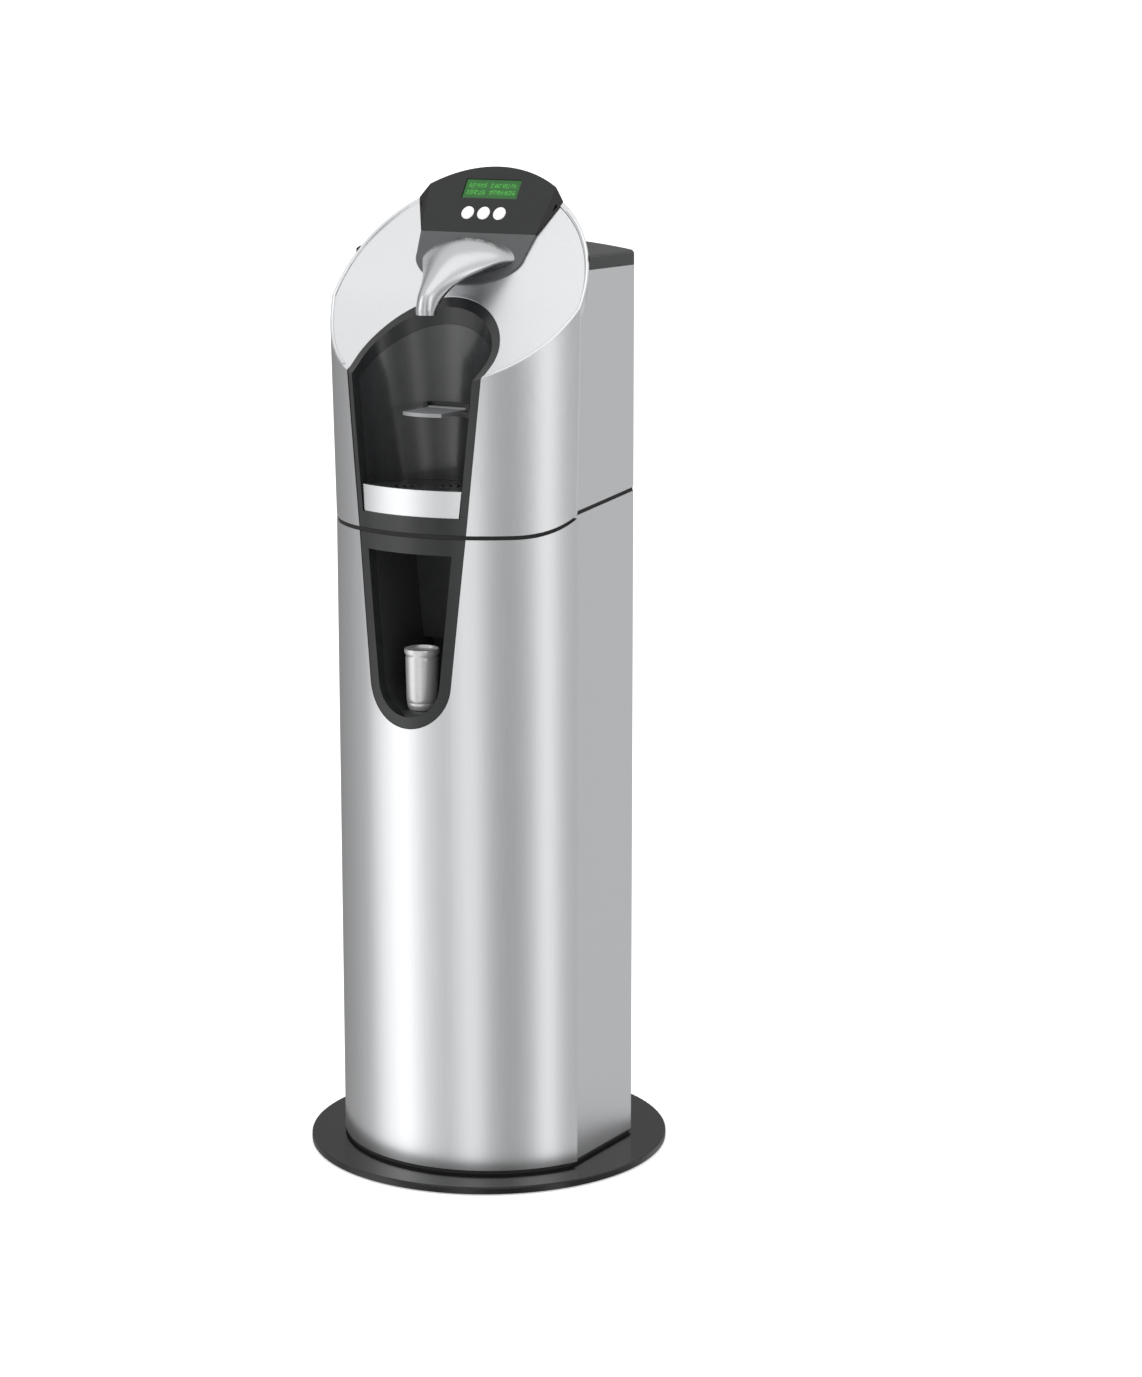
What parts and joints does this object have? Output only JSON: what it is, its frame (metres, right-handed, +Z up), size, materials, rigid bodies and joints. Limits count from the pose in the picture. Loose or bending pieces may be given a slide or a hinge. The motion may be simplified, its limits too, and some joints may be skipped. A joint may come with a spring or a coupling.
{
  "type": "water dispenser",
  "caption": "Floor-standing water dispenser: rounded silver casing, inclined control face with spout, arched cup niche and drip tray, matching cabinet with tumbler niche, round base plate.",
  "frame": {"origin": "centre of the base plate's underside, where it meets the floor", "axes": "+Z up, the niches and the spout face -Y, +X to the right seen from the front"},
  "size_m": [0.4549, 0.455, 1.2326],
  "materials": {
    "silver_steel": "satin silver",
    "silver_paint": "satin silver",
    "silver_satin": "satin silver",
    "polished_steel": "polished",
    "black_gloss": "gloss black",
    "black_enamel": "black enamel",
    "black_matte": "matt black",
    "charcoal_gloss": "charcoal",
    "charcoal_matte": "charcoal",
    "grey_plastic": "mid grey",
    "white_plastic": "white",
    "lcd_glass": "green display window",
    "green_board": "board green",
    "clear_tube": "translucent",
    "rubber": "black",
    "foam_black": "closed-cell foam",
    "zinc_sheet": "zinc",
    "grey_sheet": "satin grey",
    "aluminium_fins": "bare",
    "screw_zinc": "zinc plated"
  },
  "bodies": {
    "casing": {"base_pad": "rubber", "base_plate": "black_gloss", "plinth": "black_matte", "cabinet_floor": "zinc_sheet", "cabinet_front_shell": "silver_steel", "cabinet_side_left": "silver_paint", "cabinet_side_right": "silver_paint", "cabinet_rear_panel": "grey_sheet", "cabinet_top_deck": "zinc_sheet", "lower_niche_frame": "charcoal_gloss", "lower_niche_liner": "charcoal_gloss", "filter_bracket": "zinc_sheet", "filter_head": "white_plastic", "filter_cartridge": "white_plastic", "water_inlet": "white_plastic", "leak_stop_valve": "black_matte", "inlet_tube": "clear_tube", "riser_tube": "clear_tube", "tube_grommet": "rubber", "seam_gasket": "rubber", "casing_pan": "zinc_sheet", "head_shell": "silver_steel", "casing_side_left": "silver_paint", "casing_side_right": "silver_paint", "casing_rear_panel": "grey_sheet", "collar": "silver_paint", "control_panel": "charcoal_gloss", "spout_surround": "grey_plastic", "lcd_window": "lcd_glass", "lcd_module": "green_board", "control_board": "green_board", "spout": "silver_satin", "nozzle_insert": "black_matte", "upper_niche_frame": "charcoal_gloss", "upper_niche_liner": "charcoal_gloss", "shelf_pin": "polished_steel", "shelf_bracket": "charcoal_matte", "tank_insulation": "foam_black", "cold_tank": "polished_steel", "compressor_feet": "rubber", "compressor": "black_enamel", "condenser": "aluminium_fins", "fan_shroud": "black_matte", "power_supply": "zinc_sheet", "valve_bracket": "zinc_sheet", "valve_block": "white_plastic", "outlet_tube": "clear_tube", "tank_tube": "clear_tube", "mains_inlet": "black_matte", "casing_screws": "screw_zinc"},
    "drip_tray": {"drip_tray": "charcoal_matte", "drip_tray_front": "silver_paint"},
    "drip_grille": {"drip_grille": "charcoal_matte"},
    "cup_shelf": {"cup_shelf": "silver_satin"},
    "button_left": {"button_left": "white_plastic"},
    "button_middle": {"button_middle": "white_plastic"},
    "button_right": {"button_right": "white_plastic"},
    "rear_lid": {"rear_lid": "charcoal_gloss"},
    "steel_beaker": {"steel_beaker": "polished_steel"},
    "fan_rotor": {"fan_rotor": "black_matte"}
  },
  "joints": [
    {"name": "drip_tray_slide", "type": "slide", "parent": "casing", "child": "drip_tray", "axis": [0, -1, 0], "range_m": [0, 0.15]},
    {"name": "drip_grille_lift", "type": "slide", "parent": "drip_tray", "child": "drip_grille", "axis": [0, 0, 1], "range_m": [0, 0.06]},
    {"name": "cup_shelf_fold", "type": "hinge", "parent": "casing", "child": "cup_shelf", "pos_m": [0, -0.084, 0.94575], "axis": [-1, 0, 0], "range_deg": [0, 90]},
    {"name": "rear_lid_lift", "type": "slide", "parent": "casing", "child": "rear_lid", "axis": [0, 0, 1], "range_m": [0, 0.06]},
    {"name": "steel_beaker_draw", "type": "slide", "parent": "casing", "child": "steel_beaker", "axis": [0, -1, 0], "range_m": [0, 0.12]},
    {"name": "fan_rotor_spin", "type": "hinge", "parent": "casing", "child": "fan_rotor", "pos_m": [0.08, 0.045, 1.035], "axis": [0, 1, 0], "continuous": true},
    {"name": "button_left_press", "type": "slide", "parent": "casing", "child": "button_left", "axis": [0, 0.848, -0.5299], "range_m": [0, 0.0015], "stiffness_N_per_m": 400},
    {"name": "button_middle_press", "type": "slide", "parent": "casing", "child": "button_middle", "axis": [0, 0.848, -0.5299], "range_m": [0, 0.0015], "stiffness_N_per_m": 400},
    {"name": "button_right_press", "type": "slide", "parent": "casing", "child": "button_right", "axis": [0, 0.848, -0.5299], "range_m": [0, 0.0015], "stiffness_N_per_m": 400}
  ]
}
